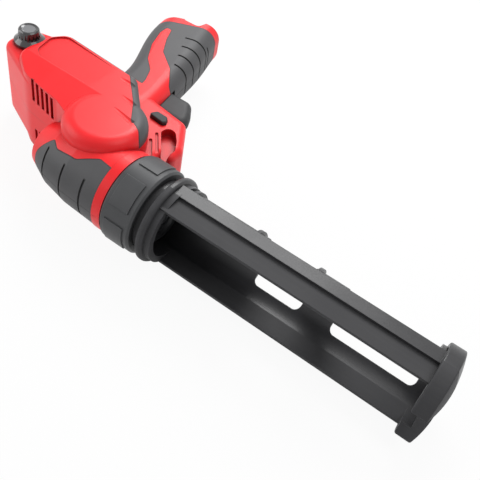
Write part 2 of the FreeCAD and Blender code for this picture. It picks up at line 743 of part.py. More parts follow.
def plunger():
    front = PLUNGER_FRONT
    back = PLUNGER_BACK
    disc = turned([
        (back, 0), (back, PLUNGER_R - 1.5), (back + 1.5, PLUNGER_R), (front - 2.5, PLUNGER_R),
        (front, PLUNGER_R - 4), (front, PLUNGER_R - 9), (front - 2, PLUNGER_R - 11), (front - 2, 0),
    ])
    disc = disc.cut(rod_x(back, back + 4, PLUNGER_R - 4).cut(rod_x(back, back + 4, PLUNGER_BOSS_R)))
    for i in range(6):
        web = block(back, back + 4, PLUNGER_BOSS_R - 2, PLUNGER_R - 3, -1, 1)
        web.rotate(V(0, 0, 0), X_AXIS, i * 60)
        disc = disc.fuse(web)
    return disc.cut(rod_x(back, front, SCREW_R + 1.0))


# Fork that joins the plunger to the first link
def chain_head():
    joint_x = CHAIN_HEAD_X
    back = PLUNGER_BACK
    half = CHAIN_INNER_HALF - CHAIN_PLAY
    tongue = block(joint_x, back, -CHAIN_PLATE_R, CHAIN_PLATE_R, -half, half)
    tongue = tongue.fuse(rod_z(joint_x, 0, -half, half, CHAIN_PLATE_R))
    foot = rod_x(back - HEAD_FOOT, back, PLUNGER_BOSS_R)
    stem = rod_x(back, PLUNGER_FRONT - 2, SCREW_R + 1.0)
    head = tongue.fuse(foot).fuse(stem)
    return head.cut(rod_z(joint_x, 0, -10, 10, CHAIN_PIN_R + CHAIN_PLAY))


def plunger_screw():
    seat = PLUNGER_FRONT - 2
    head = rod_x(seat, seat + 1.6, 4.5)
    return head.cut(block(seat + 0.6, seat + 3, -3.5, 3.5, -0.6, 0.6))


# Joint centres of the chain from the plunger back to its stored end
def chain_joints():
    step = 360.0 / CHAIN_TEETH
    joints = []
    for i in range(RUN_LINKS, 0, -1):
        joints.append((DRIVE_X + i * CHAIN_PITCH, 0.0))
    here = V(DRIVE_X, 0, 0)
    joints.append((here.x, here.y))
    headings = []
    for i in range(CHAIN_TEETH // 2):
        headings.append(180.0 - step / 2 - i * step)
    headings += [0.0] * STORE_LINKS
    headings += [30.0, 90.0, 150.0]
    headings += [180.0] * RETURN_LINKS
    headings += [157.5, 112.5]
    headings += [90.0] * DROP_LINKS
    for heading in headings:
        turn = math.radians(heading)
        here = here + V(CHAIN_PITCH * math.cos(turn), CHAIN_PITCH * math.sin(turn), 0)
        joints.append((here.x, here.y))
    return joints


def link_plate(a, b, z0):
    along = V(b[0] - a[0], b[1] - a[1], 0)
    turn = math.degrees(math.atan2(along.y, along.x))
    bar = block(0, along.Length, -CHAIN_PLATE_R * 0.8, CHAIN_PLATE_R * 0.8, z0, z0 + CHAIN_PLATE)
    for x in (0, along.Length):
        bar = bar.fuse(rod_z(x, 0, z0, z0 + CHAIN_PLATE, CHAIN_PLATE_R))
    bar.rotate(V(0, 0, 0), Z_AXIS, turn)
    bar.translate(V(a[0], a[1], 0))
    return bar


def push_chain():
    links = []
    joints = chain_joints()
    for i in range(len(joints) - 1):
        a = joints[i]
        b = joints[i + 1]
        outer = i % 2 == 0
        z0 = CHAIN_INNER_HALF + (CHAIN_PLATE + CHAIN_PLAY if outer else 0)
        plates = link_plate(a, b, z0)
        link = both_sides(plates)
        for x, y in (a, b):
            if outer:
                link = link.fuse(rod_z(x, y, -z0 - CHAIN_PLATE, z0 + CHAIN_PLATE, CHAIN_PIN_R))
            else:
                roller = rod_z(x, y, -z0 - CHAIN_PLATE, z0 + CHAIN_PLATE, CHAIN_ROLLER_R)
                link = link.fuse(roller)
                link = link.cut(rod_z(x, y, -BIG, BIG, CHAIN_PIN_R + CHAIN_PLAY))
        links.append(link)
    return Part.makeCompound(links)


def chain_wheel():
    wheel = rod_z(0, 0, -WHEEL_HALF, WHEEL_HALF, DRIVE_Y + 1.4)
    wheel = wheel.fuse(rod_z(0, 0, -GEAR_Z0 + 2, GEAR_Z0 - 0.2, SHAFT_R + 4))
    seat_r = CHAIN_ROLLER_R + 0.2
    mouth = plate([
        (DRIVE_Y, -seat_r, 0), (DRIVE_Y + 4, -seat_r - 1.2, 0), (DRIVE_Y + 4, seat_r + 1.2, 0),
        (DRIVE_Y, seat_r, 0),
    ], -WHEEL_HALF, WHEEL_HALF)
    seat = mouth.fuse(rod_z(DRIVE_Y, 0, -WHEEL_HALF, WHEEL_HALF, seat_r))
    for i in range(CHAIN_TEETH):
        cut = seat.copy()
        cut.rotate(V(0, 0, 0), Z_AXIS, -90 + i * 360.0 / CHAIN_TEETH)
        wheel = wheel.cut(cut)
    wheel = wheel.cut(rod_z(0, 0, -BIG, BIG, SHAFT_R))
    wheel.translate(V(DRIVE_X, DRIVE_Y, 0))
    return wheel


# Involute spur gear about an upright axis, one tooth on +X before it is turned
def spur_gear(teeth, width):
    pitch_r = GEAR_MODULE * teeth / 2
    base_r = pitch_r * math.cos(math.radians(PRESSURE_ANGLE))
    tip_r = pitch_r + GEAR_MODULE
    root_r = pitch_r - 1.25 * GEAR_MODULE
    pitch_roll = math.sqrt((pitch_r / base_r) ** 2 - 1)
    half_tooth = (math.pi * GEAR_MODULE / 2 - BACKLASH) / 2 / pitch_r
    middle = half_tooth + pitch_roll - math.atan(pitch_roll)
    flank = []
    steps = 5
    start_r = max(base_r, root_r + 0.1)
    for i in range(steps + 1):
        r = start_r + (tip_r - start_r) * i / steps
        roll = math.sqrt(max((r / base_r) ** 2 - 1, 0))
        angle = middle - (roll - math.atan(roll))
        flank.append((r, angle))
    points = []
    for k in range(teeth):
        turn = 2 * math.pi * k / teeth
        points.append((root_r, turn - middle))
        points += [(r, turn - a) for r, a in flank]
        points += [(r, turn + a) for r, a in reversed(flank)]
        points.append((root_r, turn + middle))
    corners = [V(r * math.cos(a), r * math.sin(a), 0) for r, a in points]
    corners.append(corners[0])
    return Part.Face(Part.makePolygon(corners)).extrude(V(0, 0, width))


def final_gear():
    gear = spur_gear(GEAR_TEETH, GEAR_WIDTH)
    for i in range(6):
        hole = rod_z(15.5, 0, 0, GEAR_WIDTH, 4)
        hole.rotate(V(0, 0, 0), Z_AXIS, i * 60)
        gear = gear.cut(hole)
    gear = gear.cut(rod_z(0, 0, 0, GEAR_WIDTH, SHAFT_R))
    gear.rotate(V(0, 0, 0), Z_AXIS, PINION_BEARING)
    gear.translate(V(DRIVE_X, DRIVE_Y, GEAR_Z0))
    return gear


# The pinion is turned half a tooth so that its gap takes the gear's tooth
def drive_pinion():
    pinion = spur_gear(PINION_TEETH, PINION_WIDTH)
    pinion.rotate(V(0, 0, 0), Z_AXIS, PINION_BEARING + 180 + 180.0 / PINION_TEETH)
    pinion = pinion.fuse(rod_z(0, 0, -8, 0, PINION_SHAFT_R))
    pinion.translate(V(PINION_X, PINION_Y, GEAR_Z0 - 0.5))
    return pinion


def cross_shaft():
    shaft = rod_z(DRIVE_X, DRIVE_Y, -SHAFT_HALF, SHAFT_HALF, SHAFT_R)
    ends = [e for e in shaft.Edges if abs(abs(e.CenterOfMass.z) - SHAFT_HALF) < 1e-6]
    return shaft.makeChamfer(0.6, ends)


def shaft_bushes():
    top = rod_z(DRIVE_X, DRIVE_Y, SHAFT_HALF - BUSH_LENGTH, SHAFT_HALF + 0.5, BUSH_R)
    top = top.cut(rod_z(DRIVE_X, DRIVE_Y, 0, BIG, SHAFT_R + FIT_GAP))
    return Part.makeCompound([top, mirrored(top)])


# Curved shoe that keeps the chain on its wheel, with a straight rail to the neck
def chain_guide():
    inner = DRIVE_Y + CHAIN_PLATE_R + GUIDE_GAP
    outer = DOME_R - SHELL - DOME_EXTRA_WALL
    ring = rod_z(DRIVE_X, DRIVE_Y, -GUIDE_HALF, GUIDE_HALF, outer)
    ring = ring.cut(rod_z(DRIVE_X, DRIVE_Y, -GUIDE_HALF, GUIDE_HALF, inner))
    ring = ring.common(block(-BIG, DRIVE_X, -BIG, DRIVE_Y + 8, -BIG, BIG))
    y0 = -CHAIN_PLATE_R - GUIDE_GAP
    rail = block(DRIVE_X, -MOUNT_TAIL, y0 - GUIDE_THICK, y0, -GUIDE_HALF, GUIDE_HALF)
    shoe = ring.fuse(rail)
    shoe = shoe.cut(rod_z(PINION_X, PINION_Y, -GUIDE_HALF, GUIDE_HALF, OUTPUT_BOSS_R + 0.2))
    return shoe.removeSplitter()


def motor():
    can = rod_x(MOTOR_REAR_X + 3, MOTOR_FRONT_X - 2, MOTOR_R, MOTOR_Y)
    can = can.fuse(rod_x(MOTOR_REAR_X, MOTOR_FRONT_X, 8, MOTOR_Y))
    ends = [e for e in can.Edges if abs(e.Length - 2 * math.pi * MOTOR_R) < 1e-3]
    can = can.makeFillet(1.5, ends)
    for z in (-1, 1):
        slot = block(MOTOR_REAR_X + 5, MOTOR_REAR_X + 11, MOTOR_Y - 5, MOTOR_Y + 5, 0, 2.0)
        slot.translate(V(0, 0, MOTOR_R - 2.0))
        can = can.cut(slot if z > 0 else mirrored(slot))
    return can


def gearbox_solid():
    x1 = MOTOR_FRONT_X + GEARBOX_LENGTH
    case = block(MOTOR_FRONT_X, x1, MOTOR_Y - 17, MOTOR_Y + 17, -GEARBOX_HALF, GEARBOX_HALF)
    long_edges = [e for e in case.Edges if abs(e.Length - GEARBOX_LENGTH) < 1e-6]
    case = case.makeFillet(5, long_edges)
    case = case.cut(rod_z(PINION_X, PINION_Y, OUTPUT_BOSS_HALF, BIG, PINION_R + 2))
    return case.fuse(rod_z(PINION_X, PINION_Y, -OUTPUT_BOSS_HALF, OUTPUT_BOSS_HALF, OUTPUT_BOSS_R))


def gearbox():
    return gearbox_solid().cut(rod_z(PINION_X, PINION_Y, 2, BIG, PINION_SHAFT_R + FIT_GAP))


def board_solid():
    return block(MOTOR_REAR_X + 3, MOTOR_FRONT_X + 0.5, 69.5, 71.1, -24, 24)


def terminal_solid():
    return block(-90, -64, 119, WELL_TOP_Y, -9, 9)


def terminal_block():
    body = terminal_solid()
    return body.cut(Part.makeCompound([contact_blade(z) for z in (-7, 0, 7)]))


def contact_blade(z):
    return block(-86, -68, WELL_TOP_Y - 6, WELL_TOP_Y + 16, z - 0.5, z + 0.5)


def battery_contacts():
    return Part.makeCompound([contact_blade(z) for z in (-7, 0, 7)])


def control_board():
    board = board_solid()
    chip = block(-118, -108, 67.4, 69.5, -8, 8)
    return board.fuse(chip)


def trigger_switch():
    body = block(SWITCH_X - SWITCH_LENGTH, SWITCH_X, 89, 112, -8, 8)
    return body.cut(rod_x(SWITCH_X - 10, SWITCH_X, STEM_R + 0.2, STEM_Y))


# Return spring: one unbroken coil from the switch to the bottom of its pocket in the trigger
def trigger_spring():
    wire = SPRING_WIRE_R
    length = TRIGGER_BACK_X + SPRING_POCKET - SWITCH_X - 2 * wire - 0.1
    helix = Part.makeHelix(length / SPRING_TURNS, length, SPRING_R)
    profile = Part.Wire([Part.Circle(V(SPRING_R, 0, 0), V(0, 1, 0), wire).toShape()])
    coil = Part.Wire(helix.Edges).makePipeShell([profile], True, True)
    coil.rotate(V(0, 0, 0), Y_AXIS, 90)
    coil.translate(V(SWITCH_X + wire + 0.05, SPRING_Y, 0))
    per_turn = 24
    points = helix.discretize(Number=per_turn * SPRING_TURNS + 1)
    least = BIG
    for i in range(len(points)):
        for j in range(i + per_turn * 3 // 4, len(points)):
            least = min(least, points[i].distanceToPoint(points[j]) - 2 * wire)
    print("trigger spring: least gap to itself", round(least, 2), "mm")
    return coil


def trigger():
    body = plate(trigger_points(), -TRIGGER_HALF, TRIGGER_HALF)
    front = [e for e in body.Edges if abs(abs(e.CenterOfMass.z) - TRIGGER_HALF) < 1e-6
             and e.CenterOfMass.x > -40]
    body = body.makeFillet(TRIGGER_ROUND, front)
    pocket_r = SPRING_R + SPRING_WIRE_R + TRIGGER_GAP
    body = body.cut(rod_x(TRIGGER_BACK_X, TRIGGER_BACK_X + SPRING_POCKET, pocket_r, SPRING_Y))
    return body.fuse(rod_x(TRIGGER_BACK_X - STEM_LENGTH, TRIGGER_BACK_X, STEM_R, STEM_Y))


def lock_button():
    bar = button_shape(0, -NOSE_HALF, NOSE_HALF + BUTTON_PROUD)
    edges = [e for e in bar.Edges if abs(e.CenterOfMass.z - NOSE_HALF - BUTTON_PROUD) < 1e-6]
    bar = bar.makeFillet(1.2, edges)
    return bar


def speed_dial():
    z0 = REAR_HALF + DIAL_LIFT
    z1 = z0 + DIAL_SKIRT
    z2 = z1 + DIAL_CAP
    knob = turned_z([
        (0, z0), (DIAL_SKIRT_R, z0), (DIAL_SKIRT_R, z0 + 2.4), (DIAL_CAP_R + 0.9, z1), (DIAL_CAP_R, z2 - 1),
        (DIAL_CAP_R - 1, z2), (DIAL_CAP_R - 2, z2), (DIAL_CAP_R - 3.5, z2 - 0.8), (0, z2 - 0.8),
    ], DIAL_X, DIAL_Y)
    flutes = 18
    for i in range(flutes):
        angle = 2 * math.pi * i / flutes
        x = DIAL_X + (DIAL_CAP_R + 1.0) * math.cos(angle)
        y = DIAL_Y + (DIAL_CAP_R + 1.0) * math.sin(angle)
        knob = knob.cut(rod_z(x, y, z1 + 0.6, z2 + 1, 0.95))
    return knob.fuse(rod_z(DIAL_X, DIAL_Y, REAR_HALF - SHELL - 6, z0, DIAL_STEM_R))


def speed_control():
    z1 = REAR_HALF - SHELL
    body = rod_z(DIAL_X, DIAL_Y, z1 - 11, z1, 8.5)
    return body.cut(rod_z(DIAL_X, DIAL_Y, z1 - 7, BIG, DIAL_STEM_R + FIT_GAP))


def case_screws():
    screws = []
    for x, y, depth in screw_places():
        head = rod_z(x, y, -depth - 2.6, -depth, SCREW_HEAD_R)
        head = head.cut(block(x - 2, x + 2, y - 0.5, y + 0.5, -depth - 2.6, -depth - 1.6))
        head = head.cut(block(x - 0.5, x + 0.5, y - 2, y + 2, -depth - 2.6, -depth - 1.6))
        screws.append(head.fuse(rod_z(x, y, -depth, 9, SCREW_R)))
    return Part.makeCompound(screws)


def save(name, shape):
    shape.exportStep("parts/" + name + ".step")


os.makedirs("parts", exist_ok=True)
left_case, right_case = housing()
grip = front_grip()
strap = handle_grip()
strip = bumper_strip()
below = block(-BIG, BIG, -BIG, BIG, -BIG, 0)
save("housing_left", left_case)
save("housing_right", right_case)
save("front_grip_left", upper_half(grip))
save("front_grip_right", grip.common(below))
save("handle_grip_left", upper_half(strap))
save("handle_grip_right", strap.common(below))
save("bumper_strip_left", strip)
save("bumper_strip_right", mirrored(strip))
save("barrel_mount", barrel_mount())
save("locking_collar", locking_collar())
save("carriage_frame", carriage_frame())
save("plunger_plate", plunger())
save("chain_head", chain_head())
save("plunger_screw", plunger_screw())
save("push_chain", push_chain())
save("chain_wheel", chain_wheel())
save("chain_guide", chain_guide())
save("cross_shaft", cross_shaft())
save("shaft_bushes", shaft_bushes())
save("final_gear", final_gear())
save("drive_pinion", drive_pinion())
save("gearbox", gearbox())
save("motor", motor())
save("control_board", control_board())
save("speed_control", speed_control())
save("speed_dial", speed_dial())
save("trigger_switch", trigger_switch())
save("trigger_spring", trigger_spring())
save("trigger", trigger())
save("lock_button", lock_button())
save("terminal_block", terminal_block())
save("battery_contacts", battery_contacts())
save("case_screws", case_screws())
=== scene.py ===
from math import pi

import bmesh
import bpy
from mathutils import Matrix, Vector


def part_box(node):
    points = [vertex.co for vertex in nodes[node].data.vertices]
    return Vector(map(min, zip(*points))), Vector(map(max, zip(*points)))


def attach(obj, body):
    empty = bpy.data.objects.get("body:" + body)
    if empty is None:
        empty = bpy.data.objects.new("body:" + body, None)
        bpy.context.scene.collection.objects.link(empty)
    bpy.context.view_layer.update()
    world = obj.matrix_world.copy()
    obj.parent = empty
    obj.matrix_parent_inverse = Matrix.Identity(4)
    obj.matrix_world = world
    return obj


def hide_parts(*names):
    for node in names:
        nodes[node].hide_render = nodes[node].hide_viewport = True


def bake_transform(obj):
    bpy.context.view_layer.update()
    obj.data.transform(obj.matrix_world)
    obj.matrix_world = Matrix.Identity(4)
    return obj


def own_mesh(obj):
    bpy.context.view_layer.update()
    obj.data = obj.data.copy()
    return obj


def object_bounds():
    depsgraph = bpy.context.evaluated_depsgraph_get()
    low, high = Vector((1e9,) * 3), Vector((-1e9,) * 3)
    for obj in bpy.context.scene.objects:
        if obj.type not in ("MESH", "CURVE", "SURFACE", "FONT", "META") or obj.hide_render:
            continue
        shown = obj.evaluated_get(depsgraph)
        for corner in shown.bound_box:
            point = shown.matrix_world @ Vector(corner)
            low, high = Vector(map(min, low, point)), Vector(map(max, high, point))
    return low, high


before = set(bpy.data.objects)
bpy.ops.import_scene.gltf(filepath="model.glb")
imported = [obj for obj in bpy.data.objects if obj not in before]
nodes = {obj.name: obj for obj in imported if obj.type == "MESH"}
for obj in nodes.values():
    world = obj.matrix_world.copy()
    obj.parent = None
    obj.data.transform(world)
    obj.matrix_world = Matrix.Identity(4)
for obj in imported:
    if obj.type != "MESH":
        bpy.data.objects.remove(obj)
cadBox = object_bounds()
print("frame loaded:", len(nodes), "nodes")


def linear(red, green, blue):  # screen colour 0-255 to the shader's scale
    values = []
    for part in (red / 255, green / 255, blue / 255):
        values.append(part / 12.92 if part <= 0.04045 else ((part + 0.055) / 1.055) ** 2.4)
    return (*values, 1.0)


def feed(tree, value, socket):  # link an output, or set a plain value
    if isinstance(value, bpy.types.NodeSocket):
        tree.links.new(value, socket)
    else:
        socket.default_value = value


def mathOf(tree, operation, first, second=0.0, clamp=False):
    node = tree.nodes.new("ShaderNodeMath")
    node.operation = operation
    node.use_clamp = clamp
    feed(tree, first, node.inputs[0])
    feed(tree, second, node.inputs[1])
    return node.outputs[0]


def mixColours(tree, share, first, second):
    node = tree.nodes.new("ShaderNodeMix")
    node.data_type = "RGBA"  # the colour sockets of this node are 6, 7 and output 2
    feed(tree, share, node.inputs[0])
    feed(tree, first, node.inputs[6])
    feed(tree, second, node.inputs[7])
    return node.outputs[2]


def spread(tree, value, low, high, newLow, newHigh):  # map one range onto another, clamped
    node = tree.nodes.new("ShaderNodeMapRange")
    feed(tree, value, node.inputs[0])
    for place, number in zip((1, 2, 3, 4), (low, high, newLow, newHigh)):
        feed(tree, number, node.inputs[place])
    return node.outputs[0]


def noiseOf(tree, vector, scale, detail=2.0, rough=0.5):
    node = tree.nodes.new("ShaderNodeTexNoise")
    tree.links.new(vector, node.inputs["Vector"])
    feed(tree, scale, node.inputs["Scale"])
    node.inputs["Detail"].default_value = detail
    node.inputs["Roughness"].default_value = rough
    return node.outputs[0]


def placeOf(tree, stretch=(1, 1, 1), shift=(0, 0, 0)):  # object coordinates, stretched and moved
    coords = tree.nodes.new("ShaderNodeTexCoord")
    mapping = tree.nodes.new("ShaderNodeMapping")
    mapping.inputs["Location"].default_value = shift
    mapping.inputs["Scale"].default_value = stretch
    tree.links.new(coords.outputs["Object"], mapping.inputs["Vector"])
    return mapping.outputs[0]


def startGroup(name, inputs, outputs):
    group = bpy.data.node_groups.new(name, "ShaderNodeTree")
    for label, value in inputs:
        socket = group.interface.new_socket(label, in_out="INPUT", socket_type="NodeSocketFloat")
        socket.default_value = value
    for label, kind in outputs:
        group.interface.new_socket(label, in_out="OUTPUT", socket_type=kind)
    return group, group.nodes.new("NodeGroupInput"), group.nodes.new("NodeGroupOutput")


rubbing = {
    "samples": 4, "sharpness": 5.0, "patches": 140.0, "detail": 4.0, "rough": 0.6,
    "bareBelow": 0.38, "fullAbove": 0.62, "least": 0.25,
}


def makeEdgeWear():  # rubbed corners, and corners that shade as rounded
    group, given, result = startGroup(
        "edgeWear", [("Radius", 0.0006), ("Amount", 0.5)],
        [("Wear", "NodeSocketFloat"), ("Normal", "NodeSocketVector")])
    bevel = group.nodes.new("ShaderNodeBevel")
    bevel.samples = rubbing["samples"]
    group.links.new(given.outputs["Radius"], bevel.inputs["Radius"])
    geometry = group.nodes.new("ShaderNodeNewGeometry")
    alike = group.nodes.new("ShaderNodeVectorMath")
    alike.operation = "DOT_PRODUCT"
    group.links.new(bevel.outputs[0], alike.inputs[0])
    group.links.new(geometry.outputs["Normal"], alike.inputs[1])
    turned = mathOf(group, "SUBTRACT", 1.0, alike.outputs["Value"])
    strong = mathOf(group, "MULTIPLY", turned, rubbing["sharpness"], True)
    place = placeOf(group)
    patches = noiseOf(group, place, rubbing["patches"], rubbing["detail"], rubbing["rough"])
    rubbed = spread(group, patches, rubbing["bareBelow"], rubbing["fullAbove"], rubbing["least"], 1.0)
    worn = mathOf(group, "MULTIPLY", strong, rubbed)
    worn = mathOf(group, "MULTIPLY", worn, given.outputs["Amount"], True)
    group.links.new(worn, result.inputs["Wear"])
    group.links.new(bevel.outputs[0], result.inputs["Normal"])
    return group


spark = {"detail": 3.0, "rough": 0.6, "patchDetail": 4.0, "patchRough": 0.55, "patchRange": (0.3, 0.7)}


def makeMouldGrain():  # the fine spark texture of a mould, and broad uneven tone
    group, given, result = startGroup(
        "mouldGrain", [("Grain", 1500.0), ("Patch", 22.0)],
        [("Height", "NodeSocketFloat"), ("Tone", "NodeSocketFloat")])
    place = placeOf(group)
    fine = noiseOf(group, place, given.outputs["Grain"], spark["detail"], spark["rough"])
    broad = noiseOf(group, place, given.outputs["Patch"], spark["patchDetail"], spark["patchRough"])
    group.links.new(fine, result.inputs["Height"])
    group.links.new(spread(group, broad, *spark["patchRange"], 0.0, 1.0), result.inputs["Tone"])
    return group


pip = {"unevenness": 0.55, "width": 0.6}


def makeStipple():  # small round pips, as moulded into soft grips
    group, given, result = startGroup(
        "stipple", [("Pips", 900.0)], [("Height", "NodeSocketFloat")])
    cells = group.nodes.new("ShaderNodeTexVoronoi")
    cells.inputs["Randomness"].default_value = pip["unevenness"]
    group.links.new(placeOf(group), cells.inputs["Vector"])
    group.links.new(given.outputs["Pips"], cells.inputs["Scale"])
    domed = spread(group, cells.outputs["Distance"], 0.0, pip["width"], 1.0, 0.0)
    group.links.new(domed, result.inputs["Height"])
    return group


flow = {"stretch": (0.08, 1.0, 1.0), "detail": 5.0, "rough": 0.65, "range": (0.35, 0.68)}


def makeFlowMarks():  # streaks of fibre along the length of a long moulding
    group, given, result = startGroup(
        "flowMarks", [("Streak", 60.0)], [("Mark", "NodeSocketFloat")])
    place = placeOf(group, flow["stretch"])
    streaks = noiseOf(group, place, given.outputs["Streak"], flow["detail"], flow["rough"])
    group.links.new(spread(group, streaks, *flow["range"], 0.0, 1.0), result.inputs["Mark"])
    return group


hollow = {"samples": 6}


def makeCrevice():  # 1 in the open, less in seams and corners; the mask for the shade painted into hollows
    group, given, result = startGroup(
        "crevice", [("Reach", 0.004)], [("Open", "NodeSocketFloat")])
    shade = group.nodes.new("ShaderNodeAmbientOcclusion")
    shade.samples = hollow["samples"]
    group.links.new(given.outputs["Reach"], shade.inputs["Distance"])
    group.links.new(shade.outputs["AO"], result.inputs["Open"])
    return group


rimEdge = {"samples": 8, "range": (0.6, 0.95)}


def makeRimLine():  # 1 along the edges where two mouldings meet
    group, given, result = startGroup(
        "rimLine", [("Reach", 0.0006)], [("Line", "NodeSocketFloat")])
    depth = group.nodes.new("ShaderNodeAmbientOcclusion")
    depth.samples = rimEdge["samples"]
    depth.inside = True
    depth.only_local = True
    group.links.new(given.outputs["Reach"], depth.inputs["Distance"])
    drawn = spread(group, depth.outputs["AO"], *rimEdge["range"], 1.0, 0.0)
    group.links.new(drawn, result.inputs["Line"])
    return group


machining = {
    "lineStretch": (0.12, 1.0, 1.0), "lineDetail": 3.0, "lineRough": 0.6,
    "scratchStretch": (1.0, 0.15, 0.6), "scratchDetail": 5.0, "scratchRough": 0.7,
    "toneRange": (0.3, 0.7),
}


def makeToolMarks():  # fine machining lines and handling scratches on metal
    group, given, result = startGroup(
        "toolMarks", [("Lines", 900.0), ("Scratch", 260.0)],
        [("Height", "NodeSocketFloat"), ("Tone", "NodeSocketFloat")])
    place = placeOf(group, machining["lineStretch"])
    lines = noiseOf(
        group, place, given.outputs["Lines"], machining["lineDetail"], machining["lineRough"])
    place = placeOf(group, machining["scratchStretch"])
    scratches = noiseOf(
        group, place, given.outputs["Scratch"], machining["scratchDetail"], machining["scratchRough"])
    both = mathOf(group, "MULTIPLY", lines, scratches)
    group.links.new(both, result.inputs["Height"])
    group.links.new(spread(group, scratches, *machining["toneRange"], 0.0, 1.0), result.inputs["Tone"])
    return group


edgeWear = makeEdgeWear()
mouldGrain = makeMouldGrain()
stipple = makeStipple()
flowMarks = makeFlowMarks()
crevice = makeCrevice()
rimLine = makeRimLine()
toolMarks = makeToolMarks()
print("node groups made")


def startMaterial(name):
    material = bpy.data.materials.new(name)
    material.use_nodes = True
    tree = material.node_tree
    return material, tree, tree.nodes["Principled BSDF"]


def useGroup(tree, group, **values):
    node = tree.nodes.new("ShaderNodeGroup")
    node.node_tree = group
    for label, value in values.items():
        node.inputs[label].default_value = value
    return node


def bumpOf(tree, height, strength, distance, normal):
    bump = tree.nodes.new("ShaderNodeBump")
    bump.inputs["Strength"].default_value = strength
    bump.inputs["Distance"].default_value = distance
    tree.links.new(height, bump.inputs["Height"])
    tree.links.new(normal, bump.inputs["Normal"])
    return bump.outputs[0]


moulding = {
    "streakShare": 0.5, "proudRange": (0.6, 0.92), "paintedShadeRange": (0.25, 0.85), "polish": 0.12,
    "mattEdge": (0.0004, 0.0002), "grainUnderPips": 0.4, "coatRough": 0.18,
}


def mouldedPlastic(name, look):
    material, tree, shader = startMaterial(name)
    grain = useGroup(tree, mouldGrain, Grain=look["grain"], Patch=look["patch"])
    wear = useGroup(tree, edgeWear, Radius=look["edge"], Amount=look["wear"])
    occlusionMask = useGroup(tree, crevice, Reach=look["reach"])
    colour = mixColours(tree, grain.outputs["Tone"], look["deep"], look["base"])
    if look.get("streak"):
        marks = useGroup(tree, flowMarks, Streak=look["streak"])
        share = mathOf(tree, "MULTIPLY", marks.outputs["Mark"], moulding["streakShare"])
        colour = mixColours(tree, share, colour, look["pale"])
    proud = spread(tree, occlusionMask.outputs["Open"], *moulding["proudRange"], 0.0, 1.0)
    worn = mathOf(tree, "MULTIPLY", wear.outputs["Wear"], proud)
    colour = mixColours(tree, worn, colour, look["rubbed"])
    # painted shade: the colour is darkened towards the dark tone in seams, corners and hollows, where
    # shade falls
    paintedShade = spread(tree, occlusionMask.outputs["Open"], *moulding["paintedShadeRange"], look["paintedShadeShare"], 0.0)
    colour = mixColours(tree, paintedShade, colour, look["shadeAndJointTone"])
    if look.get("line"):
        rim = useGroup(tree, rimLine, Reach=look["line"])
        drawn = mathOf(tree, "MULTIPLY", rim.outputs["Line"], look["lineShare"])
        colour = mixColours(tree, drawn, colour, look["shadeAndJointTone"])
    tree.links.new(colour, shader.inputs["Base Color"])
    rough = spread(tree, grain.outputs["Tone"], 0.0, 1.0, *look["rough"])
    rough = mathOf(tree, "SUBTRACT", rough, mathOf(tree, "MULTIPLY", worn, moulding["polish"]))
    if look.get("mattBelow") is not None:  # the lips of the trough are moulded matt
        split = tree.nodes.new("ShaderNodeSeparateXYZ")
        tree.links.new(placeOf(tree), split.inputs[0])
        low = look["mattBelow"] - moulding["mattEdge"][0]
        high = look["mattBelow"] + moulding["mattEdge"][1]
        matt = spread(tree, split.outputs["Y"], low, high, 1.0, 0.0)
        rough = mathOf(tree, "ADD", rough, mathOf(tree, "MULTIPLY", matt, look["mattRise"]))
    tree.links.new(rough, shader.inputs["Roughness"])
    height = grain.outputs["Height"]
    if look.get("pips"):
        pips = useGroup(tree, stipple, Pips=look["pips"])
        height = mathOf(tree, "MULTIPLY", height, moulding["grainUnderPips"])
        height = mathOf(tree, "ADD", height, pips.outputs["Height"])
    normal = bumpOf(tree, height, look["bump"], look["bumpDepth"], wear.outputs["Normal"])
    tree.links.new(normal, shader.inputs["Normal"])
    shader.inputs["Specular IOR Level"].default_value = look["gloss"]
    shader.inputs["Coat Weight"].default_value = look.get("coat", 0.0)
    shader.inputs["Coat Roughness"].default_value = moulding["coatRough"]
    return material


metalWork = {"paintedShadeRange": (0.2, 0.8), "bumpDepth": 0.0002}


def workedMetal(name, look):
    material, tree, shader = startMaterial(name)
    marks = useGroup(tree, toolMarks, Lines=look["lines"], Scratch=look["scratch"])
    wear = useGroup(tree, edgeWear, Radius=look["edge"], Amount=look["wear"])
    occlusionMask = useGroup(tree, crevice, Reach=look["reach"])
    colour = mixColours(tree, marks.outputs["Tone"], look["deep"], look["base"])
    colour = mixColours(tree, wear.outputs["Wear"], colour, look["rubbed"])
    # painted shade: the metal colour is darkened towards the dark tone in seams, corners and hollows,
    # where shade falls
    paintedShade = spread(tree, occlusionMask.outputs["Open"], *metalWork["paintedShadeRange"], look["paintedShadeShare"], 0.0)
    colour = mixColours(tree, paintedShade, colour, look["shadeAndJointTone"])
    tree.links.new(colour, shader.inputs["Base Color"])
    rough = spread(tree, marks.outputs["Tone"], 0.0, 1.0, look["rough"][1], look["rough"][0])
    tree.links.new(rough, shader.inputs["Roughness"])
    height = marks.outputs["Height"]
    normal = bumpOf(tree, height, look["bump"], metalWork["bumpDepth"], wear.outputs["Normal"])
    tree.links.new(normal, shader.inputs["Normal"])
    shader.inputs["Metallic"].default_value = look["metal"]
    return material


# finishes: colours 0-255, lengths in metres
# in each look the dark tone and its share paint shade into hollows and corners; the same dark tone
# draws the lines where mouldings meet
caseLook = {
    "base": linear(250, 38, 44), "deep": linear(242, 29, 35), "rubbed": linear(252, 112, 114),
    "shadeAndJointTone": linear(104, 5, 9), "rough": (0.34, 0.44), "grain": 1700.0, "patch": 26.0,
    "edge": 0.0007, "wear": 0.3, "reach": 0.014, "paintedShadeShare": 0.8, "line": 0.0003, "lineShare": 0.5,
    "bump": 0.10, "bumpDepth": 0.0003, "gloss": 0.32, "coat": 0.06,
}
redCase = mouldedPlastic("redCase", caseLook)

